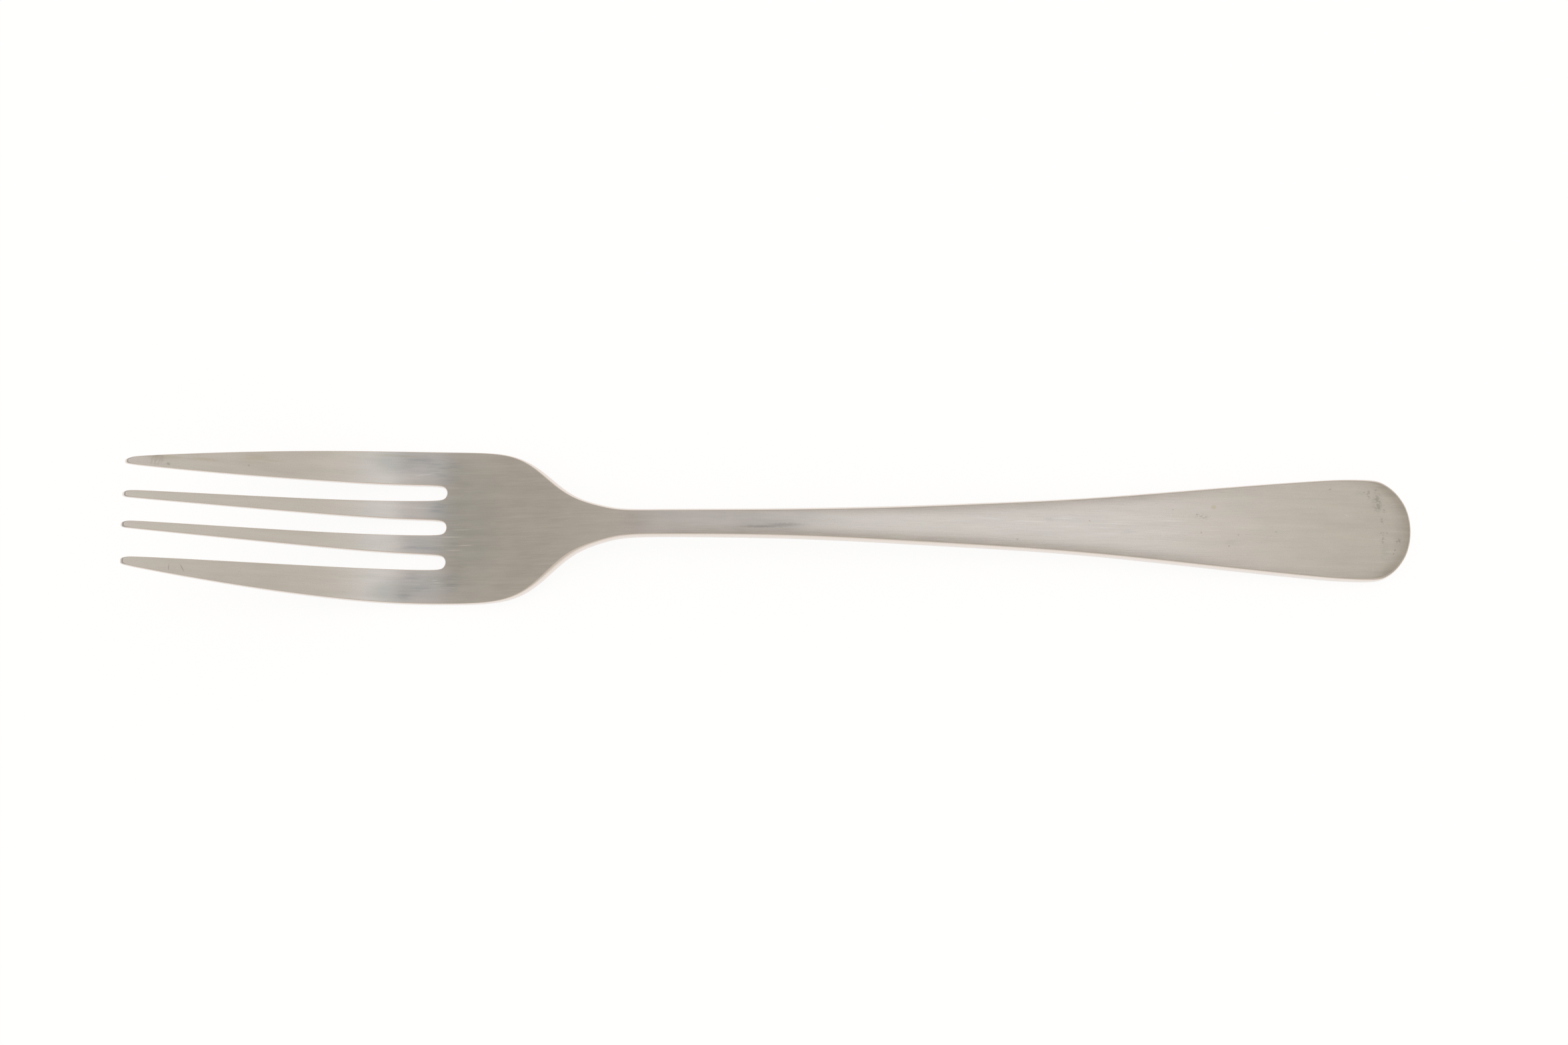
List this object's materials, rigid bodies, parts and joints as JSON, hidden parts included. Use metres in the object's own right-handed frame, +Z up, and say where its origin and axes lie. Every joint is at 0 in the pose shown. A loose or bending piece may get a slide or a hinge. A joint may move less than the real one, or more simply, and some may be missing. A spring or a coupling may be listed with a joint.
{
  "type": "table fork",
  "caption": "Plain table fork: slim tapering tines, a hollowed head with sloping shoulders, a narrow neck and a handle widening to a round end; spears and lifts food.",
  "frame": {"origin": "on the table under the middle of the fork's length, as it lies with the hollow of the head upwards", "axes": "+X along the fork towards the end of the handle, +Y towards the right-hand tines as the person eating sees them, +Z up"},
  "size_m": [0.2, 0.0244, 0.016],
  "materials": {
    "steel": "worn satin, brushed along the length, warm grey"
  },
  "bodies": {
    "root": {"outer_tine_right": "steel", "inner_tine_right": "steel", "inner_tine_left": "steel", "outer_tine_left": "steel", "head": "steel", "neck": "steel", "handle": "steel"}
  },
  "joints": []
}
